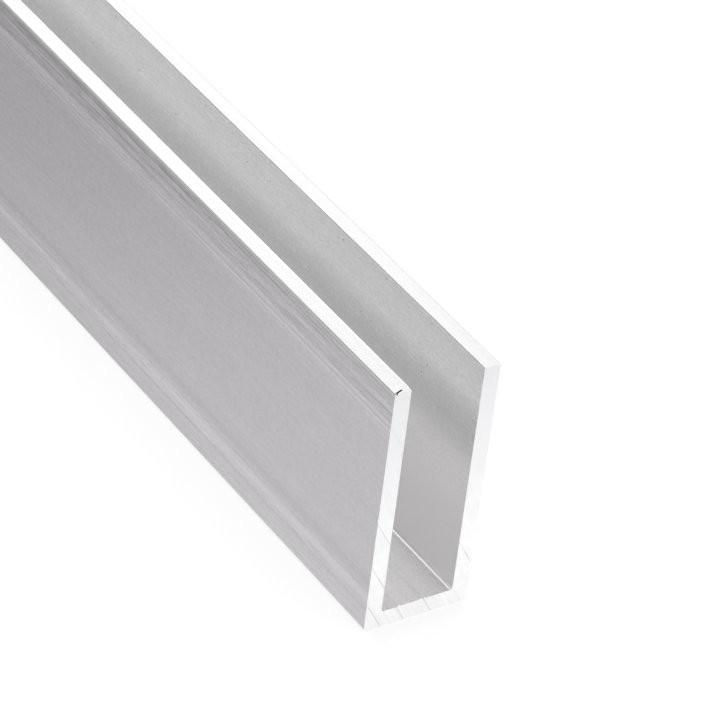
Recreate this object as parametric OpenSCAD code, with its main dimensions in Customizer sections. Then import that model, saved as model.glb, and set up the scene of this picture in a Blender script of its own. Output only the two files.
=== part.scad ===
// Deep U-channel, one extruded and sawn length of aluminium, standing on its web with the slot upwards.
// The section lies across Y and Z and runs along X. The origin is under the middle of the web.

/* [Section] */
// Width over both legs
channel_width = 13; // [10:0.5:40]
// Height from the underside of the web to the leg tips
leg_height = 31; // [10:0.5:80]
// Thickness of each leg
leg_wall = 2; // [1:0.1:3]
// Thickness of the web that joins the legs
web_wall = 2; // [1:0.1:3]

/* [Corners] */
// Fillet in the slot, where each leg meets the web
inside_fillet = 0.4; // [0.1:0.05:1.5]
// Radius of the two corners under the web
outside_radius = 0.5; // [0.05:0.05:0.95]
// Radius of the two edges along each leg tip
tip_radius = 0.15; // [0.05:0.05:0.45]

/* [Stock] */
// Length that the stock is sold in
stock_length = 1000; // [100:50:3000]

/* [Hidden] */
$fn = 64;

// How far a cutting shape runs past the face that it opens
overcut = 1;
slot_width = channel_width - 2 * leg_wall;
half_width = channel_width / 2;
half_slot = slot_width / 2;

// The waste between a square corner at the origin and the arc that rounds it, in the first quadrant
module corner_waste(radius) {
    difference() {
        square(radius);
        translate([radius, radius]) circle(radius);
    }
}

// The same shape on both sides of the section's middle
module both_sides() {
    children();
    mirror([1, 0]) children();
}

// Square-cornered U, before its corners are rounded
module square_section() {
    difference() {
        translate([-half_width, 0]) square([channel_width, leg_height]);
        translate([-half_slot, web_wall]) square([slot_width, leg_height - web_wall + overcut]);
    }
}

// What the outer corners and the leg tips lose
module rounded_off() {
    both_sides() {
        translate([-half_width, 0]) corner_waste(outside_radius);
        translate([-half_width, leg_height]) mirror([0, 1]) corner_waste(tip_radius);
        translate([-half_slot, leg_height]) rotate(180) corner_waste(tip_radius);
    }
}

// What the two inside corners gain
module filled_in() {
    both_sides() translate([-half_slot, web_wall]) corner_waste(inside_fillet);
}

module section() {
    difference() {
        union() {
            square_section();
            filled_in();
        }
        rounded_off();
    }
}

module u_channel() {
    color("silver")
        rotate([90, 0, 90])
            linear_extrude(height = stock_length, center = true)
                section();
}

u_channel();
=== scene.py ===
"""Dresses one sawn length of aluminium U-channel in its mill finish, on a plain pale floor.

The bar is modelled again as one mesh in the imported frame, in metres, with its corner radii, the shallow
lines that the die leaves along it, its two sawn ends, and the burr and the nick that the saw leaves there.
"""

import logging
import math
import random
from dataclasses import dataclass, field, replace
from enum import Enum
from typing import Any, Callable, Iterable

import bmesh
import bpy
from bmesh.types import BMEdge, BMesh, BMFace, BMVert
from mathutils import Matrix, Vector


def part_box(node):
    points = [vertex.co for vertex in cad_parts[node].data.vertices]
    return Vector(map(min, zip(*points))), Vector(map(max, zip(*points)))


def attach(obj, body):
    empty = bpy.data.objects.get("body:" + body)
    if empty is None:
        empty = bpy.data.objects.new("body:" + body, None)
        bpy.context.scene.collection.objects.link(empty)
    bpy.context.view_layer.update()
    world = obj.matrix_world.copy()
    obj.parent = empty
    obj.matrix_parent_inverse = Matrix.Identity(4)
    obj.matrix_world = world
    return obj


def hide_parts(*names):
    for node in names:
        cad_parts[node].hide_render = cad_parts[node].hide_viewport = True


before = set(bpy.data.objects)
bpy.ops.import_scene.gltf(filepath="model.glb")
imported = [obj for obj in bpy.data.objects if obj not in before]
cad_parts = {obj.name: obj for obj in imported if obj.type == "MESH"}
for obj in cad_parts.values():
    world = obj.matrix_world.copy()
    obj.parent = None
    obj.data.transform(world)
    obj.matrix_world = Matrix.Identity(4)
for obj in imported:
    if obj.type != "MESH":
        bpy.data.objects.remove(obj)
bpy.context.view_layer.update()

MM = 0.001
MICRON = 1e-6
# Two points nearer than this are the same point
SAME = 0.1 * MICRON
# No line of the die is deeper than this
LINE_DEPTH = 20 * MICRON
# Lines and burrs move the middle of a flat's faces by less than this
FLAT_SLACK = 0.1 * MM
# Cosine of the widest angle between a side of the bar and a face that belongs to it
FACING = 0.9
# Faces that lean further than this from the axes belong to a rounded corner
ALONG_AXIS = 0.99
# Light in the narrow slot is followed from leg to leg at most this many times
SLOT_BOUNCES = 24
# A noise lies around this middle, and mostly within this range
NOISE_MIDDLE = 0.5
NOISE_RANGE = (0.3, 0.7)
WHITE = "#FFFFFF"
log = logging.getLogger("u_channel")


def linear(hex_colour: str) -> tuple[float, float, float, float]:
    """Turns an sRGB hex colour into the linear colour that the shaders take.

    Args:
        hex_colour: Six hex digits, with or without a leading hash.

    Returns:
        Red, green, blue and an alpha of 1.
    """
    digits = hex_colour.lstrip("#")
    levels = [int(digits[i:i + 2], 16) / 255 for i in (0, 2, 4)]
    red, green, blue = (c / 12.92 if c <= 0.04045 else ((c + 0.055) / 1.055) ** 2.4 for c in levels)
    return red, green, blue, 1.0


def add_node(
    tree: bpy.types.NodeTree, kind: str, inputs: dict[Any, Any] | None = None, **settings: Any
) -> Any:
    """Adds one node, sets it up and links it.

    Args:
        tree: The node tree that gets the node.
        kind: The node's type name.
        inputs: Socket name or number to a value, or to an output socket that is linked in.
        **settings: Properties of the node.

    Returns:
        The new node.
    """
    node = tree.nodes.new(kind)
    for name, value in settings.items():
        setattr(node, name, value)
    for name, value in (inputs or {}).items():
        if isinstance(value, bpy.types.NodeSocket):
            tree.links.new(value, node.inputs[name])
        else:
            node.inputs[name].default_value = value
    return node


def bare_material(name: str) -> tuple[bpy.types.Material, bpy.types.NodeTree]:
    """Makes a material with an empty node tree.

    Args:
        name: What the material is.

    Returns:
        The material and its tree.
    """
    material = bpy.data.materials.new(name)
    material.use_nodes = True
    material.node_tree.nodes.clear()
    return material, material.node_tree


class Finish(Enum):
    """The material slots of the bar, in their order on the mesh."""

    OUTSIDE = 0
    SLOT_LEFT = 1
    SLOT_RIGHT = 2
    SLOT_FLOOR = 3
    TIP = 4
    SAWN = 5
    MARK = 6
    NICK = 7
    FILLET = 8


@dataclass(frozen=True)
class Band:
    """A stripe of the finish along the length: its height on the legs, its tone and its lines' strength."""

    height: float
    tone: float
    lines: float = 0.4


@dataclass(frozen=True)
class MillFinish:
    """Aluminium as it leaves the die: a dull silver sheen, fine lines along the length, a few tiny pits.

    The lines make the sheen wider across the length than along it. Lines follow the height on the
    legs, because each place on the die polishes the metal a little differently. The tone follows the height
    too, partly for that reason and partly as painted light and shade. Lines and grain are drawn coarser
    than the real ones, which are too fine to show.
    """

    name: str
    light: str
    dark: str
    leg_height: float
    bands: tuple[Band, ...]
    roughness: tuple[float, float] = (0.38, 0.48)
    anisotropy: float = 0.75
    # The die's lines
    line_pitch: float = 0.3 * MM
    line_length: float = 60 * MM
    line_detail: float = 3.0
    line_weight: float = 1.2
    # The metal's grain, drawn out along the length
    grain: float = 0.28 * MM
    grain_stretch: float = 2.0
    grain_detail: float = 2.0
    grain_weight: float = 0.3
    # A slow wave of painted light and shade along the bar, which stands in for the lamps' light falling off
    # along its length. How far it wanders and where it starts are angles in radians.
    painted_light_length: float = 300 * MM
    painted_light_breadth: float = 30 * MM
    painted_light_wander: float = 2.0
    painted_light_start: float = 0.3
    painted_light_weight: float = 0.26
    # Drag marks show where a noise passes a level, with a soft edge. The middle leaves the tone alone.
    scratch_width: float = 0.16 * MM
    scratch_length: float = 5 * MM
    scratch_from: float = 0.66
    scratch_edge: float = 0.06
    scratch_middle: float = 0.0
    scratch_weight: float = 0.0
    pit: str = "#6E6E72"
    pit_spacing: float = 4.0 * MM
    pit_radius: float = 0.12 * MM
    relief: float = 2.5 * MICRON

    def noise(
        self, tree: bpy.types.NodeTree, place: Any, along: float, across: float, detail: float
    ) -> Any:
        """Adds a noise that is stretched along the bar.

        Args:
            tree: The material's tree.
            place: The coordinates.
            along: Size of its features along the length.
            across: Size of its features across the length.
            detail: How many finer layers it has.

        Returns:
            The noise's value, from 0 to 1 and about 0.5 on average.
        """
        scale = (1 / along, 1 / across, 1 / across)
        drawn = add_node(tree, "ShaderNodeMapping", {"Vector": place, "Scale": scale}).outputs[0]
        inputs = {"Vector": drawn, "Scale": 1.0, "Detail": detail}
        return add_node(tree, "ShaderNodeTexNoise", inputs).outputs[0]

    def stripes(self, tree: bpy.types.NodeTree, height: Any) -> Any:
        """Adds the bands as a ramp over the height.

        Args:
            tree: The material's tree.
            height: The height on the legs.

        Returns:
            The outputs with the tone in red and the strength of the lines in green.
        """
        inputs = {0: height, 1: self.leg_height}
        # The bands' tone is partly painted light and shade over the height
        share = add_node(tree, "ShaderNodeMath", inputs, operation="DIVIDE").outputs[0]
        ramp = add_node(tree, "ShaderNodeValToRGB", {0: share})
        stops = ramp.color_ramp.elements
        while len(stops) < len(self.bands):
            stops.new(1.0)
        for stop, band in zip(stops, self.bands):
            stop.position = band.height / self.leg_height
            stop.color = (band.tone, band.lines, 0.0, 1.0)
        return add_node(tree, "ShaderNodeSeparateColor", {0: ramp.outputs[0]}).outputs

    def painted_light_wave(self, tree: bpy.types.NodeTree, place: Any, way: Any) -> Any:
        """Adds the painted light and shade that change slowly along the bar.

        Args:
            tree: The material's tree.
            place: The coordinates.
            way: The place along the length.

        Returns:
            A wave from -1 to 1 that wanders a little.
        """
        wander = self.noise(tree, place, self.painted_light_length, self.painted_light_breadth, 1.0)
        inputs = {0: way, 1: math.tau / self.painted_light_length, 2: self.painted_light_start}
        turns = add_node(tree, "ShaderNodeMath", inputs, operation="MULTIPLY_ADD").outputs[0]
        inputs = {0: wander, 1: self.painted_light_wander, 2: turns}
        phase = add_node(tree, "ShaderNodeMath", inputs, operation="MULTIPLY_ADD").outputs[0]
        return add_node(tree, "ShaderNodeMath", {0: phase}, operation="COSINE").outputs[0]

    def scratches(self, tree: bpy.types.NodeTree, place: Any) -> Any:
        """Adds the drag marks.

        Args:
            tree: The material's tree.
            place: The coordinates.

        Returns:
            How far each point lies on a mark, from 0 to 1.
        """
        level = self.noise(tree, place, self.scratch_length, self.scratch_width, 0.0)
        full = self.scratch_from + self.scratch_edge
        inputs = {"Value": level, "From Min": self.scratch_from, "From Max": full}
        return add_node(tree, "ShaderNodeMapRange", inputs).outputs[0]

    def pits(self, tree: bpy.types.NodeTree, place: Any) -> Any:
        """Adds the pits.

        Args:
            tree: The material's tree.
            place: The coordinates.

        Returns:
            How far each point lies in a pit, from 0 to 1.
        """
        scale = (1 / self.pit_spacing,) * 3
        spread = add_node(tree, "ShaderNodeMapping", {"Vector": place, "Scale": scale}).outputs[0]
        cells = add_node(tree, "ShaderNodeTexVoronoi", {"Vector": spread, "Scale": 1.0}).outputs["Distance"]
        edge = self.pit_radius / self.pit_spacing
        inputs = {"Value": cells, "From Min": edge, "From Max": edge / 2}
        return add_node(tree, "ShaderNodeMapRange", inputs).outputs[0]

    def build(self) -> bpy.types.Material:
        """Returns the material."""
        material, tree = bare_material(self.name)
        place = add_node(tree, "ShaderNodeTexCoord").outputs["Object"]
        axes = add_node(tree, "ShaderNodeSeparateXYZ", {0: place}).outputs
        stripes = self.stripes(tree, axes["Z"])
        tone, strength = stripes["Red"], stripes["Green"]
        lines = self.noise(tree, place, self.line_length, self.line_pitch, self.line_detail)
        grain = self.noise(tree, place, self.grain * self.grain_stretch, self.grain, self.grain_detail)
        line_weight, scratch_weight = (
            add_node(tree, "ShaderNodeMath", {0: strength, 1: weight}, operation="MULTIPLY").outputs[0]
            for weight in (self.line_weight, self.scratch_weight))
        layers = (
            (lines, NOISE_MIDDLE, line_weight),
            (grain, NOISE_MIDDLE, self.grain_weight),
            # Painted light and shade that change slowly along the bar
            (self.painted_light_wave(tree, place, axes["X"]), 0.0, self.painted_light_weight),
            (self.scratches(tree, place), self.scratch_middle, scratch_weight),
        )
        for layer, middle, weight in layers:
            swing = add_node(tree, "ShaderNodeMath", {0: layer, 1: middle}, operation="SUBTRACT").outputs[0]
            inputs = {0: swing, 1: weight, 2: tone}
            tone = add_node(tree, "ShaderNodeMath", inputs, operation="MULTIPLY_ADD").outputs[0]
        inputs = {0: tone, 6: linear(self.dark), 7: linear(self.light)}
        metal = add_node(tree, "ShaderNodeMix", inputs, data_type="RGBA").outputs[2]
        inputs = {0: self.pits(tree, place), 1: strength}
        pitted = add_node(tree, "ShaderNodeMath", inputs, operation="MULTIPLY").outputs[0]
        inputs = {0: pitted, 6: metal, 7: linear(self.pit)}
        colour = add_node(tree, "ShaderNodeMix", inputs, data_type="RGBA").outputs[2]
        rough = add_node(tree, "ShaderNodeMapRange", {
            "Value": lines, "From Min": NOISE_RANGE[0], "From Max": NOISE_RANGE[1],
            "To Min": self.roughness[0], "To Max": self.roughness[1]}).outputs[0]
        surface = add_node(tree, "ShaderNodeMath", {0: lines, 1: grain}, operation="ADD").outputs[0]
        inputs = {"Height": surface, "Strength": 1.0, "Distance": self.relief}
        bump = add_node(tree, "ShaderNodeBump", inputs)
        across = add_node(tree, "ShaderNodeTangent", direction_type="RADIAL", axis="X")
        shader = add_node(tree, "ShaderNodeBsdfPrincipled", {
            "Base Color": colour, "Metallic": 1.0, "Roughness": rough, "Anisotropic": self.anisotropy,
            "Tangent": across.outputs[0], "Normal": bump.outputs[0]})
        add_node(tree, "ShaderNodeOutputMaterial", {"Surface": shader.outputs[0]})
        return material


@dataclass(frozen=True)
class SawnFinish:
    """Fresh aluminium where a circular saw went through: bright, with faint arcs from the blade's teeth.

    It turns a little bluer and darker towards the leg tips, as painted shade.
    """

    blade: tuple[float, float]
    leg_height: float
    name: str = "sawn_aluminium"
    light: str = "#FDFDFD"
    dark: str = "#F6F6F6"
    shade: str = "#E9E9EC"
    shade_from: float = 8 * MM
    roughness: tuple[float, float] = (0.5, 0.6)
    mark_pitch: float = 0.45 * MM
    mark_detail: float = 3.0
    patch: float = 2.5 * MM
    # Arcs and patches add up to levels in this range, from the dark colour to the light one
    tone_range: tuple[float, float] = (0.7, 1.2)
    relief: float = 0.8 * MICRON

    def build(self) -> bpy.types.Material:
        """Returns the material, with its arcs around the blade's axle."""
        material, tree = bare_material(self.name)
        place = add_node(tree, "ShaderNodeTexCoord").outputs["Object"]
        inputs = {0: place, 1: (0, *self.blade)}
        centred = add_node(tree, "ShaderNodeVectorMath", inputs, operation="SUBTRACT").outputs[0]
        inputs = {0: centred, 1: (0, 1, 1)}
        flat = add_node(tree, "ShaderNodeVectorMath", inputs, operation="MULTIPLY").outputs[0]
        reach = add_node(tree, "ShaderNodeVectorMath", {0: flat}, operation="LENGTH").outputs["Value"]
        inputs = {0: reach, 1: self.mark_pitch}
        rings = add_node(tree, "ShaderNodeMath", inputs, operation="DIVIDE").outputs[0]
        inputs = {"W": rings, "Scale": 1.0, "Detail": self.mark_detail}
        marks = add_node(tree, "ShaderNodeTexNoise", inputs, noise_dimensions="1D").outputs[0]
        inputs = {"Vector": place, "Scale": (1 / self.patch,) * 3}
        spread = add_node(tree, "ShaderNodeMapping", inputs).outputs[0]
        patches = add_node(tree, "ShaderNodeTexNoise", {"Vector": spread, "Scale": 1.0}).outputs[0]
        both = add_node(tree, "ShaderNodeMath", {0: marks, 1: patches}, operation="ADD").outputs[0]
        inputs = {"Value": both, "From Min": self.tone_range[0], "From Max": self.tone_range[1]}
        tone = add_node(tree, "ShaderNodeMapRange", inputs).outputs[0]
        inputs = {0: tone, 6: linear(self.dark), 7: linear(self.light)}
        fresh = add_node(tree, "ShaderNodeMix", inputs, data_type="RGBA").outputs[2]
        # Painted shade: bluer and darker towards the leg tips
        height = add_node(tree, "ShaderNodeSeparateXYZ", {0: place}).outputs["Z"]
        inputs = {"Value": height, "From Min": self.shade_from, "From Max": self.leg_height}
        rise = add_node(tree, "ShaderNodeMapRange", inputs).outputs[0]
        inputs = {0: rise, 6: fresh, 7: linear(self.shade)}
        colour = add_node(tree, "ShaderNodeMix", inputs, data_type="RGBA").outputs[2]
        rough = add_node(tree, "ShaderNodeMapRange", {
            "Value": marks, "From Min": NOISE_RANGE[0], "From Max": NOISE_RANGE[1],
            "To Min": self.roughness[0], "To Max": self.roughness[1]}).outputs[0]
        inputs = {"Height": marks, "Strength": 1.0, "Distance": self.relief}
        bump = add_node(tree, "ShaderNodeBump", inputs)
        shader = add_node(tree, "ShaderNodeBsdfPrincipled", {
            "Base Color": colour, "Metallic": 1.0, "Roughness": rough, "Normal": bump.outputs[0]})
        add_node(tree, "ShaderNodeOutputMaterial", {"Surface": shader.outputs[0]})
        return material


@dataclass(frozen=True)
class NickPaintedShade:
    """Torn aluminium in the nick that the blade left, dark blue-grey and dull as painted shade in the
    narrow slit.
    """

    name: str = "torn_aluminium_painted_shade"
    light: str = "#6A6C78"
    dark: str = "#33343E"
    roughness: float = 0.6
    tear: float = 0.08 * MM

    def build(self) -> bpy.types.Material:
        """Returns the material."""
        material, tree = bare_material(self.name)
        place = add_node(tree, "ShaderNodeTexCoord").outputs["Object"]
        inputs = {"Vector": place, "Scale": (1 / self.tear,) * 3}
        spread = add_node(tree, "ShaderNodeMapping", inputs).outputs[0]
        tears = add_node(tree, "ShaderNodeTexNoise", {"Vector": spread, "Scale": 1.0}).outputs[0]
        inputs = {0: tears, 6: linear(self.dark), 7: linear(self.light)}
        colour = add_node(tree, "ShaderNodeMix", inputs, data_type="RGBA").outputs[2]
        shader = add_node(tree, "ShaderNodeBsdfPrincipled", {
            "Base Color": colour, "Metallic": 1.0, "Roughness": self.roughness})
        add_node(tree, "ShaderNodeOutputMaterial", {"Surface": shader.outputs[0]})
        return material


@dataclass(frozen=True)
class Flat:
    """One flat side of the bar, which runs along X between two corners of the section."""

    normal: Vector
    level: float
    span: tuple[float, float]

    @property
    def across(self) -> Vector:
        """The direction across the bar on this flat: up on the legs, sideways elsewhere."""
        return Vector((0, 0, 1)) if abs(self.normal.y) > FACING else Vector((0, 1, 0))

    def holds(self, face: BMFace) -> bool:
        """Says whether a face is a strip of this flat, also where a line has been pressed into it.

        Args:
            face: A face of the bar.

        Returns:
            True for a strip of this flat.
        """
        middle = face.calc_center_median()
        place = middle.dot(self.across)
        faces_out = face.normal.dot(self.normal) > FACING
        on_level = abs(middle.dot(self.normal) - self.level) < FLAT_SLACK
        return faces_out and on_level and self.span[0] < place < self.span[1]


@dataclass(frozen=True)
class LineZone:
    """A zone across a flat where the die leaves lines. A depth below zero is a ridge."""

    start: float
    end: float
    count: int
    depth: tuple[float, float]
    # Each line has an equal part of the zone, takes a share of it as its width and lies within it
    share: tuple[float, float] = (0.2, 0.45)
    jitter: tuple[float, float] = (0.3, 0.7)

    def lines(self, luck: random.Random) -> list[tuple[float, float, float]]:
        """Spreads the lines over the zone, so that they never cross.

        Args:
            luck: The seeded draw.

        Returns:
            Place, width and depth of each line.
        """
        step = (self.end - self.start) / self.count
        drawn = []
        for i in range(self.count):
            place = self.start + step * (i + luck.uniform(*self.jitter))
            drawn.append((place, step * luck.uniform(*self.share), luck.uniform(*self.depth)))
        return drawn


@dataclass(frozen=True)
class Burr:
    """A torn burr along part of a flat's cut edge, from one place across the flat to another."""

    flat: str
    start: float
    end: float
    teeth: int
    height: float


def leans(face: BMFace) -> bool:
    """Says whether a face belongs to a rounded corner."""
    return max(abs(c) for c in face.normal) < ALONG_AXIS


def with_edges(faces: Iterable[BMFace]) -> list[Any]:
    """Lists faces with their own edges and vertices, each once.

    Args:
        faces: Some faces.

    Returns:
        What a cut of just these faces takes.
    """
    chosen: dict[Any, None] = {}
    for face in faces:
        chosen[face] = None
        chosen.update(dict.fromkeys(face.edges))
        chosen.update(dict.fromkeys(face.verts))
    return list(chosen)


def cut(bm: BMesh, wanted: Callable[[BMFace], bool], point: Vector, normal: Vector) -> None:
    """Cuts some faces along a plane and leaves their neighbours whole.

    Args:
        bm: The bar.
        wanted: Says which faces are cut.
        point: A point of the plane.
        normal: The plane's normal.
    """
    geom = with_edges(f for f in bm.faces if wanted(f))
    bmesh.ops.bisect_plane(bm, geom=geom, dist=SAME, plane_co=point, plane_no=normal)


@dataclass
class UChannel:
    """The extruded bar: two legs on a web, sawn square at both ends. Sizes are in metres."""

    node: str = "u_channel"
    body: str = "root"
    slot: str = "mill_finish_aluminium"
    wall: float = 2 * MM
    web: float = 2 * MM
    inside_fillet: float = 0.4 * MM
    outside_radius: float = 0.5 * MM
    tip_radius: float = 0.15 * MM
    arc_segments: int = 6
    # The saw's teeth ran this way across the end, and its axle was this far off
    saw_run: Vector = field(default_factory=lambda: Vector((0, 0.511, -0.86)))
    saw_radius: float = 150 * MM
    saw_marks: int = 26
    mark_depth: tuple[float, float] = (0.3 * MICRON, 1.5 * MICRON)
    mark_width: tuple[float, float] = (0.1 * MM, 0.3 * MM)
    # Each mark has an equal part of the end and lies somewhere within it
    mark_jitter: tuple[float, float] = (0.25, 0.75)
    # Places of the deeper marks, across the run, from under the middle of the web
    deep_marks: tuple[float, ...] = (-3.78 * MM, -1.24 * MM, 1.7 * MM, 8.14 * MM)
    deep_mark_depth: float = 9 * MICRON
    deep_mark_width: float = 0.14 * MM
    burrs: tuple[Burr, ...] = (
        Burr("slot_floor", -2.6 * MM, 1.6 * MM, 16, 0.2 * MM),
        Burr("outside_left", 11 * MM, 17 * MM, 12, 0.08 * MM),
    )
    burr_reach: float = 0.12 * MM
    # Points this near to the cut edge are lifted with a tooth of the burr
    burr_catch: float = 0.02 * MM
    # Where a tooth lies in its own part of the burr, and its share of the burr's height
    tooth_jitter: tuple[float, float] = (0.1, 0.9)
    tooth_share: tuple[float, float] = (0.3, 1.0)
    # The nick on the near leg's tip: where it starts and ends, back from the cut and across
    nick_from: tuple[float, float] = (-0.05 * MM, -6.36 * MM)
    nick_to: tuple[float, float] = (-0.37 * MM, -5.45 * MM)
    nick_width: float = 0.2 * MM
    nick_depth: float = 0.25 * MM
    nick_patch: float = 0.7 * MM
    seed: int = 7
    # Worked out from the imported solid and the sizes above
    length: float = field(init=False)
    width: float = field(init=False)
    height: float = field(init=False)
    end: float = field(init=False)
    out: float = field(init=False)
    into: float = field(init=False)
    luck: random.Random = field(init=False)
    flats: dict[str, Flat] = field(init=False)

    def __post_init__(self) -> None:
        """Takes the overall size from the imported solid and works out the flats."""
        low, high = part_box(self.node)
        self.length = high[0] - low[0]
        self.width = high[1] - low[1]
        self.height = high[2] - low[2]
        self.end = self.length / 2
        self.out = self.width / 2
        self.into = self.out - self.wall
        self.luck = random.Random(self.seed)
        up, left, right = Vector((0, 0, 1)), Vector((0, -1, 0)), Vector((0, 1, 0))
        leg = (0.0, self.height)
        self.flats = {
            "outside_left": Flat(left, self.out, leg),
            "outside_right": Flat(right, self.out, leg),
            "inside_left": Flat(right, -self.into, leg),
            "inside_right": Flat(left, -self.into, leg),
            "slot_floor": Flat(up, self.web, (-self.into, self.into)),
            "underside": Flat(-up, 0.0, (-self.out, self.out)),
            "tip_left": Flat(up, self.height, (-self.out, -self.into)),
            "tip_right": Flat(up, self.height, (self.into, self.out)),
        }

    @property
    def saw_across(self) -> Vector:
        """The direction across the run of the saw's teeth, upwards from the near leg to the far one."""
        return Vector((0, -self.saw_run.z, self.saw_run.y))

    def die_lines(self) -> dict[str, tuple[LineZone, ...]]:
        """Returns the zones of the die's lines on each flat, in the order in which they are drawn."""
        outside = (
            LineZone(0.7 * MM, 2.8 * MM, 4, (0.4 * MICRON, 1.2 * MICRON)),
            LineZone(2.9 * MM, 5.2 * MM, 8, (2.0 * MICRON, 5.0 * MICRON)),
            LineZone(5.6 * MM, 25.8 * MM, 22, (0.3 * MICRON, 1.5 * MICRON)),
            LineZone(26.1 * MM, 26.9 * MM, 2, (-3.0 * MICRON, -2.0 * MICRON)),
            LineZone(27.0 * MM, 30.6 * MM, 15, (1.0 * MICRON, 4.0 * MICRON)),
        )
        inside = (LineZone(3.0 * MM, 30.4 * MM, 26, (0.1 * MICRON, 0.5 * MICRON)),)
        floor = (LineZone(-3.8 * MM, 3.8 * MM, 9, (0.1 * MICRON, 0.5 * MICRON)),)
        under = (LineZone(-5.8 * MM, 5.8 * MM, 16, (0.5 * MICRON, 3.0 * MICRON)),)
        fine = (0.2 * MICRON, 0.8 * MICRON)
        inset = 0.3 * MM
        right_tip = (LineZone(self.into + inset, self.out - inset, 4, fine),)
        left_tip = (LineZone(inset - self.out, -inset - self.into, 4, fine),)
        return {
            "outside_left": outside,
            "outside_right": outside,
            "inside_left": inside,
            "inside_right": inside,
            "slot_floor": floor,
            "underside": under,
            "tip_right": right_tip,
            "tip_left": left_tip,
        }

    def corners(self) -> list[tuple[float, float]]:
        """Returns the eight corners of the section as Y and Z, with the slot opening upwards."""
        return [
            (-self.out, 0), (self.out, 0), (self.out, self.height), (self.into, self.height),
            (self.into, self.web), (-self.into, self.web),
            (-self.into, self.height), (-self.out, self.height),
        ]

    def long_edges(self, bm: BMesh, corners: Iterable[tuple[float, float]]) -> list[BMEdge]:
        """Finds the edges that run along X through some of the section's corners.

        Args:
            bm: The bar so far.
            corners: Y and Z of each corner.

        Returns:
            One edge for each corner.
        """
        wanted = [Vector((0, y, z)) for y, z in corners]
        found = []
        for edge in bm.edges:
            a, b = (Vector((0, v.co.y, v.co.z)) for v in edge.verts)
            if (a - b).length < SAME and any((a - w).length < SAME for w in wanted):
                found.append(edge)
        return found

    def round_corners(self, bm: BMesh) -> None:
        """Rounds the web's outer corners, fillets the slot and breaks the edges of the leg tips.

        Args:
            bm: The square bar.
        """
        corners = self.corners()
        groups = (
            ([c for c in corners if c[1] == 0], self.outside_radius),
            ([c for c in corners if c[1] == self.web], self.inside_fillet),
            ([c for c in corners if c[1] == self.height], self.tip_radius),
        )
        for places, radius in groups:
            bmesh.ops.bevel(bm, geom=self.long_edges(bm, places), offset=radius, offset_type="OFFSET",
                            segments=self.arc_segments, profile=0.5, affect="EDGES", material=-1)

    def press_lines(self, bm: BMesh) -> None:
        """Presses the die's lines into the flats, over the whole length.

        Args:
            bm: The rounded bar.
        """
        for name, zones in self.die_lines().items():
            flat = self.flats[name]
            for place, width, depth in (line for zone in zones for line in zone.lines(self.luck)):
                for shift in (-width / 2, 0, width / 2):
                    cut(bm, flat.holds, flat.across * (place + shift), flat.across)
                for vert in bm.verts:
                    on_line = abs(vert.co.dot(flat.across) - place) < SAME
                    if on_line and abs(vert.co.dot(flat.normal) - flat.level) < SAME:
                        vert.co -= flat.normal * depth

    def saw_end(self, bm: BMesh, side: int) -> None:
        """Leaves the marks of the saw's teeth on one end.

        Args:
            bm: The bar.
            side: 1 for the end at +X, -1 for the other.
        """
        across = self.saw_across
        lowest = -self.out * across.y
        highest = self.out * across.y + self.height * across.z
        step = (highest - lowest) / self.saw_marks
        marks = []
        for i in range(self.saw_marks):
            place = lowest + step * (i + self.luck.uniform(*self.mark_jitter))
            if all(abs(place - deep) > self.mark_width[1] for deep in self.deep_marks):
                width = self.luck.uniform(*self.mark_width)
                depth = self.luck.uniform(*self.mark_depth)
                marks.append((place, width, depth))
        marks += [(place, self.deep_mark_width, self.deep_mark_depth) for place in self.deep_marks]

        def on_end(face: BMFace) -> bool:
            """Says whether a face lies on this end."""
            return face.normal.x * side > FACING

        for place, width, depth in marks:
            for shift in (-width / 2, 0, width / 2):
                cut(bm, on_end, across * (place + shift), across)
            for vert in bm.verts:
                if abs(vert.co.dot(across) - place) < SAME and abs(vert.co.x * side - self.end) < SAME:
                    vert.co.x -= side * depth

    def ragged_edge(self, bm: BMesh, burr: Burr) -> None:
        """Raises a torn burr along part of the cut edge of a flat at the +X end.

        Args:
            bm: The bar.
            burr: Where the burr is and how high it stands.
        """
        flat = self.flats[burr.flat]
        inner = self.end - self.burr_reach
        cut(bm, flat.holds, Vector((inner, 0, 0)), Vector((1, 0, 0)))

        def at_edge(face: BMFace) -> bool:
            """Says whether a face lies on the flat's strip next to the cut."""
            return flat.holds(face) and face.calc_center_median().x > inner

        step = (burr.end - burr.start) / burr.teeth
        for i in range(burr.teeth):
            place = burr.start + step * (i + self.luck.uniform(*self.tooth_jitter))
            cut(bm, at_edge, flat.across * place, flat.across)
            lift = burr.height * self.luck.uniform(*self.tooth_share) if i % 2 else 0.0
            for vert in bm.verts:
                at_place = abs(vert.co.dot(flat.across) - place) < SAME
                at_cut = vert.co.x > self.end - self.burr_catch
                on_flat = abs(vert.co.dot(flat.normal) - flat.level) < self.burr_catch
                if at_place and at_cut and on_flat:
                    vert.co += flat.normal * lift

    def nick_tip(self, bm: BMesh) -> None:
        """Tears the nick into the near leg's tip, close behind the cut.

        Args:
            bm: The bar.
        """
        start = Vector((self.end + self.nick_from[0], self.nick_from[1], self.height))
        stop = Vector((self.end + self.nick_to[0], self.nick_to[1], self.height))
        run = (stop - start).normalized()
        aside = Vector((-run.y, run.x, 0))
        if aside.x < 0:
            aside.negate()
        inner = self.end - self.nick_patch

        def on_tip(face: BMFace) -> bool:
            """Says whether a face lies on the near leg's tip or its rounded edges.

            Args:
                face: A face of the bar.

            Returns:
                True for a face of that tip.
            """
            middle = face.calc_center_median()
            on_side = abs(face.normal.x) < FACING
            return on_side and middle.y < -self.into and middle.z > self.height - self.tip_radius

        def on_patch(face: BMFace) -> bool:
            """Says whether a face lies on the piece of the tip next to the cut."""
            return on_tip(face) and face.calc_center_median().x > inner

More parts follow.
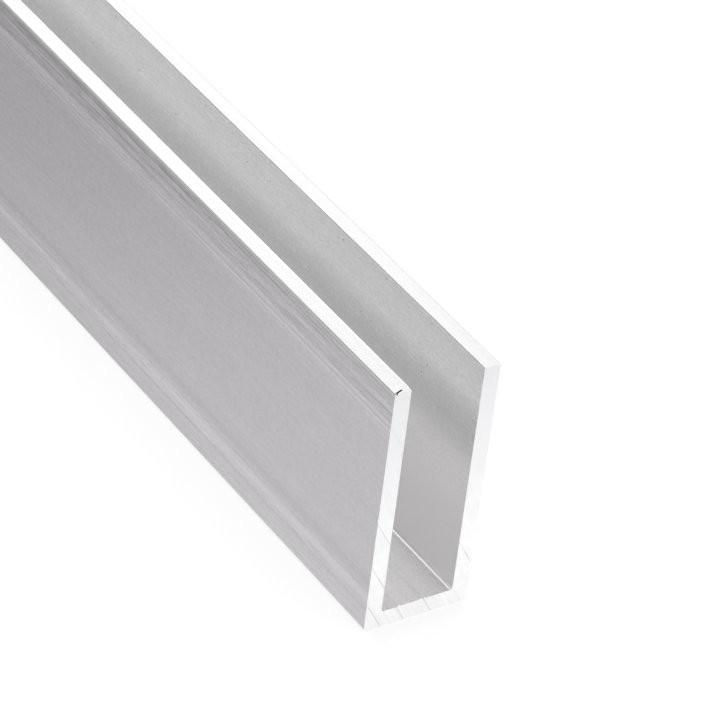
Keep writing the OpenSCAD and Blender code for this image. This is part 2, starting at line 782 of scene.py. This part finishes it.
        cut(bm, on_tip, Vector((inner, 0, 0)), Vector((1, 0, 0)))
        outline = (
            (start, run), (stop, run),
            (start - aside * self.nick_width / 2, aside), (start + aside * self.nick_width / 2, aside),
        )
        for point, normal in outline:
            cut(bm, on_patch, point, normal)

        def in_nick(face: BMFace) -> bool:
            """Says whether a face lies inside the nick's outline.

            Args:
                face: A face of the bar.

            Returns:
                True for a face that is torn out.
            """
            middle = face.calc_center_median() - start
            inside = 0 < middle.dot(run) < (stop - start).length
            return on_patch(face) and inside and abs(middle.dot(aside)) < self.nick_width / 2

        torn = [f for f in bm.faces if in_nick(f)]
        grown = bmesh.ops.extrude_face_region(bm, geom=torn)["geom"]
        bmesh.ops.delete(bm, geom=torn, context="FACES")
        floor = [v for v in grown if isinstance(v, BMVert)]
        bmesh.ops.translate(bm, vec=(0, 0, -self.nick_depth), verts=floor)
        for vert in floor:
            for face in vert.link_faces:
                face.material_index = Finish.NICK.value

    def finish_of(self, face: BMFace) -> Finish:
        """Picks the finish of a face by its place on the bar.

        Args:
            face: A face of the bar, outside the nick.

        Returns:
            The finish.
        """
        middle = face.calc_center_median()
        aside = abs(middle.y)
        above_tip = middle.z > self.height - self.tip_radius
        if abs(face.normal.x) > FACING:
            run = middle.dot(self.saw_across)
            deep = any(abs(run - place) < self.deep_mark_width / 2 for place in self.deep_marks)
            return Finish.MARK if deep else Finish.SAWN
        if above_tip and aside > self.into + self.tip_radius - LINE_DEPTH:
            return Finish.TIP
        in_slot = aside < self.into + LINE_DEPTH and middle.z > self.web - LINE_DEPTH
        if not in_slot and not above_tip:
            return Finish.OUTSIDE
        if leans(face) and not above_tip:
            return Finish.FILLET
        if face.normal.z > FACING and not above_tip:
            return Finish.SLOT_FLOOR
        return Finish.SLOT_RIGHT if middle.y > 0 else Finish.SLOT_LEFT

    def dress(self, bm: BMesh) -> None:
        """Gives each face its finish, with flats shaded flat and round corners shaded smooth.

        Args:
            bm: The bar.
        """
        for face in bm.faces:
            torn = face.material_index == Finish.NICK.value
            face.smooth = not torn and leans(face)
            if not torn:
                face.material_index = self.finish_of(face).value

    def even(self, tone: float, lines: float) -> tuple[Band, Band]:
        """Returns the bands of a finish that is the same over the whole height."""
        return Band(0.0, tone, lines), Band(self.height, tone, lines)

    def outside_finish_with_painted_shade(self) -> MillFinish:
        """Returns the finish of the sides and the underside."""
        # Satin grey in stripes: pale low down, even in the middle, light and dark lines near the tip
        # The pale foot is painted light against the shade near the floor, and the grey, darker than the
        # slot, is painted shade for the shaded floor that the side reflects
        bands = (
            Band(0.0, 0.72), Band(2.7 * MM, 0.70), Band(2.9 * MM, 0.55), Band(3.2 * MM, 0.66, 0.8),
            Band(3.8 * MM, 0.81, 0.8), Band(4.6 * MM, 0.76, 0.8), Band(5.0 * MM, 0.62, 0.6),
            Band(5.8 * MM, 0.53, 0.2), Band(6.4 * MM, 0.46, 0.2), Band(7.2 * MM, 0.54, 0.2),
            Band(25.4 * MM, 0.52, 0.2), Band(25.7 * MM, 0.59), Band(26.1 * MM, 0.55),
            Band(26.2 * MM, 0.74), Band(26.35 * MM, 0.74), Band(26.45 * MM, 0.51),
            Band(26.7 * MM, 0.48), Band(26.78 * MM, 0.62), Band(26.9 * MM, 0.62),
            Band(27.0 * MM, 0.58), Band(27.4 * MM, 0.58, 0.8), Band(27.7 * MM, 0.47, 0.8),
            Band(28.9 * MM, 0.44, 0.9), Band(29.7 * MM, 0.37, 0.9), Band(30.1 * MM, 0.32, 0.9),
            Band(30.4 * MM, 0.41, 0.9), Band(30.75 * MM, 0.5, 0.9), Band(30.9 * MM, 1.0),
        )
        return MillFinish(
            "mill_finish_aluminium_outside_painted_shade", light="#CBC9CB", dark="#828082", leg_height=self.height,
            bands=bands, scratch_width=0.07 * MM, scratch_length=4 * MM, scratch_from=0.47,
            scratch_middle=0.5, scratch_weight=0.25)

    def slot_finishes_with_painted_light(self) -> tuple[MillFinish, MillFinish, MillFinish, MillFinish]:
        """Returns the finishes of the slot: left wall, right wall, floor and fillets, paler than the
        outside as painted light.
        """
        # An even, dull wall with faint lines and a few pits, almost white as painted light for the light
        # lost between the legs
        left = MillFinish(
            "mill_finish_aluminium_slot_left_painted_light", light="#FFFEFE", dark="#B8B9B9", leg_height=self.height,
            bands=self.even(1.05, 0.1), roughness=(0.46, 0.56), anisotropy=0.9, line_weight=0.25,
            grain_weight=0.1, painted_light_weight=0.0, scratch_length=3 * MM, scratch_weight=0.12,
            pit="#7C7C7E", pit_spacing=1.8 * MM, pit_radius=0.13 * MM, relief=3 * MICRON)
        # As pale at its foot, and a flecked, pitted grey from half its height up to the tip
        # The pale foot is painted light that the near leg throws down on it, and the grey above is painted
        # shade under that leg's tip
        right = replace(
            left, name="mill_finish_aluminium_slot_right_painted_light", dark="#B8B9BA", painted_light_start=0.95,
            painted_light_weight=-0.03, grain_weight=0.4, bands=(
                Band(0.0, 1.06, 0.1), Band(13 * MM, 1.06, 0.1), Band(17 * MM, 0.84, 0.1),
                Band(18.4 * MM, 0.7, 0.2), Band(20 * MM, 0.45), Band(21.9 * MM, 0.275, 0.8),
                Band(24 * MM, 0.27, 1.0), Band(25.4 * MM, 0.31, 1.0), Band(26.1 * MM, 0.33, 1.0),
                Band(26.8 * MM, 0.305, 1.0), Band(27.5 * MM, 0.245, 1.0), Band(29.6 * MM, 0.19, 1.0),
                Band(30.5 * MM, 0.135, 1.0), Band(self.height, 0.2, 1.0)))
        # A floor greyer than the left wall, as painted shade, with more grain
        floor = replace(
            left, name="mill_finish_aluminium_slot_floor_painted_light", dark="#AFADAE", grain_weight=0.25,
            bands=self.even(0.1, 0.1))
        # Between wall and floor in tone, painted shade that holds down the lamp's bright line along it, and
        # a little smoother than both
        fillet = replace(
            left, name="mill_finish_aluminium_fillet_painted_light", roughness=(0.45, 0.54), anisotropy=0.88,
            bands=self.even(0.62, 0.1))
        return left, right, floor, fillet

    def finishes(self) -> list[bpy.types.Material]:
        """Returns the materials in the order of Finish."""
        slot_left, slot_right, slot_floor, fillet = self.slot_finishes_with_painted_light()
        # Plain mid-grey metal, which the lamps above it turn bright; its darker grey is painted shade that
        # keeps the tips from clipping, and its wave along the bar is painted shade against the lamps'
        # highlight
        tip = MillFinish(
            "mill_finish_aluminium_tip_painted_shade", light="#A0A0A0", dark="#8E8E8E", leg_height=self.height,
            bands=self.even(0.61, 0.4), line_weight=0.5, grain_weight=0.2, painted_light_start=0.95,
            painted_light_weight=-0.15)
        axle = self.saw_across * self.saw_radius
        blade = (axle.y, axle.z)
        # Nearly white, freshly cut ends, and the deeper marks on them as slightly greyer lines
        sawn = SawnFinish(blade, self.height)
        mark = SawnFinish(blade, self.height, "sawn_aluminium_mark", light="#F0F0F1", dark="#DEDEE0")
        finishes = (
            self.outside_finish_with_painted_shade(), slot_left, slot_right, slot_floor, tip, sawn, mark, NickPaintedShade(), fillet,
        )
        return [finish.build() for finish in finishes]

    def build(self) -> bpy.types.Object:
        """Returns the finished bar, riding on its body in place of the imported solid."""
        bm = bmesh.new()
        cap = bm.faces.new([bm.verts.new((-self.end, y, z)) for y, z in self.corners()])
        grown = bmesh.ops.extrude_face_region(bm, geom=[cap])["geom"]
        bmesh.ops.translate(bm, vec=(self.length, 0, 0), verts=[v for v in grown if isinstance(v, BMVert)])
        bmesh.ops.recalc_face_normals(bm, faces=bm.faces)
        self.round_corners(bm)
        self.press_lines(bm)
        self.saw_end(bm, 1)
        self.saw_end(bm, -1)
        for burr in self.burrs:
            self.ragged_edge(bm, burr)
        self.nick_tip(bm)
        bm.normal_update()
        self.dress(bm)
        mesh = bpy.data.meshes.new(self.node)
        bm.to_mesh(mesh)
        bm.free()
        piece = bpy.data.objects.new("u_channel_bar", mesh)
        bpy.context.scene.collection.objects.link(piece)
        for material in self.finishes():
            mesh.materials.append(material)
        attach(piece, self.body)
        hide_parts(self.node)
        return piece


@dataclass(frozen=True)
class SoftBox:
    """A large square lamp that shines on the sawn end from one side."""

    name: str
    direction: tuple[float, float, float]
    distance: float
    size: float
    radiance: float

    def build(self, target: Vector) -> bpy.types.Object:
        """Places the lamp.

        Args:
            target: The point that it shines on.

        Returns:
            The lamp's object.
        """
        lamp = bpy.data.lights.new(self.name, "AREA")
        lamp.size = self.size
        lamp.energy = self.radiance * math.pi * self.size ** 2
        holder = bpy.data.objects.new(self.name, lamp)
        towards = Vector(self.direction).normalized()
        holder.location = target + towards * self.distance
        holder.rotation_euler = towards.to_track_quat("Z", "Y").to_euler()
        bpy.context.scene.collection.objects.link(holder)
        return holder


@dataclass
class Studio:
    """A white floor that runs out of sight, an even white surround and soft lamps."""

    floor_size: float = 8.0
    floor_colour: str = "#FAFAFA"
    # How much of the floor's white is its own, and not the light that falls on it
    whiteness: float = 0.75
    surround: float = 0.93
    lamps: tuple[SoftBox, ...] = (
        SoftBox("back_light", (-0.651, 0.488, 0.581), 0.9, 0.7, 2.2),
        SoftBox("front_light", (-0.657, -0.488, 0.575), 0.9, 0.6, 1.5),
        SoftBox("slot_light", (-0.657, 0.0, 0.754), 0.9, 0.3, 7.8),
        SoftBox("end_light", (0.8, 0.58, 0.12), 0.5, 0.25, 1.2),
    )

    def paper(self) -> bpy.types.Material:
        """Returns the floor's white paper, which looks whiter than it is lit but keeps a soft shadow."""
        material, tree = bare_material("white_paper")
        lit = add_node(tree, "ShaderNodeBsdfDiffuse", {"Color": linear(self.floor_colour)}).outputs[0]
        inputs = {"Color": linear(WHITE), "Strength": 1.0}
        white = add_node(tree, "ShaderNodeEmission", inputs).outputs[0]
        path = add_node(tree, "ShaderNodeLightPath").outputs
        seen = path["Is Camera Ray"]
        for ray in ("Is Glossy Ray", "Is Transmission Ray"):
            seen = add_node(tree, "ShaderNodeMath", {0: seen, 1: path[ray]}, operation="MAXIMUM").outputs[0]
        inputs = {0: seen, 1: self.whiteness}
        share = add_node(tree, "ShaderNodeMath", inputs, operation="MULTIPLY").outputs[0]
        floor = add_node(tree, "ShaderNodeMixShader", {0: share, 1: lit, 2: white}).outputs[0]
        add_node(tree, "ShaderNodeOutputMaterial", {"Surface": floor})
        return material

    def build(self, target: Vector) -> None:
        """Makes the floor, the surround and the lamps.

        Args:
            target: The point that the lamps shine on.
        """
        bm = bmesh.new()
        bmesh.ops.create_grid(bm, x_segments=1, y_segments=1, size=self.floor_size / 2)
        mesh = bpy.data.meshes.new("floor")
        bm.to_mesh(mesh)
        bm.free()
        floor = bpy.data.objects.new("floor", mesh)
        bpy.context.scene.collection.objects.link(floor)
        mesh.materials.append(self.paper())
        world = bpy.data.worlds.new("surround")
        bpy.context.scene.world = world
        world.use_nodes = True
        world.node_tree.nodes["Background"].inputs["Color"].default_value = linear(WHITE)
        world.node_tree.nodes["Background"].inputs["Strength"].default_value = self.surround
        for lamp in self.lamps:
            lamp.build(target)


@dataclass
class ProductCamera:
    """The long lens that looks down on the sawn end, in degrees and metres, with lens and sensor in mm."""

    azimuth: float = 53.414
    elevation: float = 35.089
    roll: float = 7.315
    distance: float = 435.77 * MM
    focal_length: float = 217.91
    sensor: float = 36.0
    # Nothing nearer than this is drawn
    near: float = 10 * MM
    aim: tuple[float, float] = (-11.48 * MM, 36.733 * MM)

    def build(self, end: float) -> bpy.types.Object:
        """Makes the scene's camera.

        Args:
            end: X of the sawn end, in whose plane the camera aims at a point.

        Returns:
            The camera's object.
        """
        turn, lift, tilt = (math.radians(a) for a in (self.azimuth, self.elevation, self.roll))
        back = Vector((math.sin(turn) * math.cos(lift), -math.cos(turn) * math.cos(lift), math.sin(lift)))
        level = Vector((0, 0, 1)).cross(back).normalized()
        upright = back.cross(level)
        right = math.cos(tilt) * level + math.sin(tilt) * upright
        up = back.cross(right)
        lens = bpy.data.cameras.new("camera")
        lens.lens = self.focal_length
        lens.sensor_width = self.sensor
        lens.clip_start = self.near
        holder = bpy.data.objects.new("camera", lens)
        turned = Matrix((right, up, back)).transposed().to_4x4()
        turned.translation = Vector((end, *self.aim)) + back * self.distance
        holder.matrix_world = turned
        bpy.context.scene.collection.objects.link(holder)
        bpy.context.scene.camera = holder
        return holder


def main() -> None:
    """Builds the bar, the studio and the camera."""
    logging.basicConfig(level=logging.INFO, format="%(name)s: %(message)s")
    bpy.context.scene.view_settings.view_transform = "Standard"
    bpy.context.scene.cycles.glossy_bounces = SLOT_BOUNCES
    bpy.context.scene.cycles.max_bounces = SLOT_BOUNCES
    channel = UChannel()
    bar = channel.build()
    log.info("%s has %d faces", bar.name, len(bar.data.polygons))
    Studio().build(Vector((channel.end, 0, channel.height / 2)))
    ProductCamera().build(channel.end)


if __name__ == "__main__":
    main()
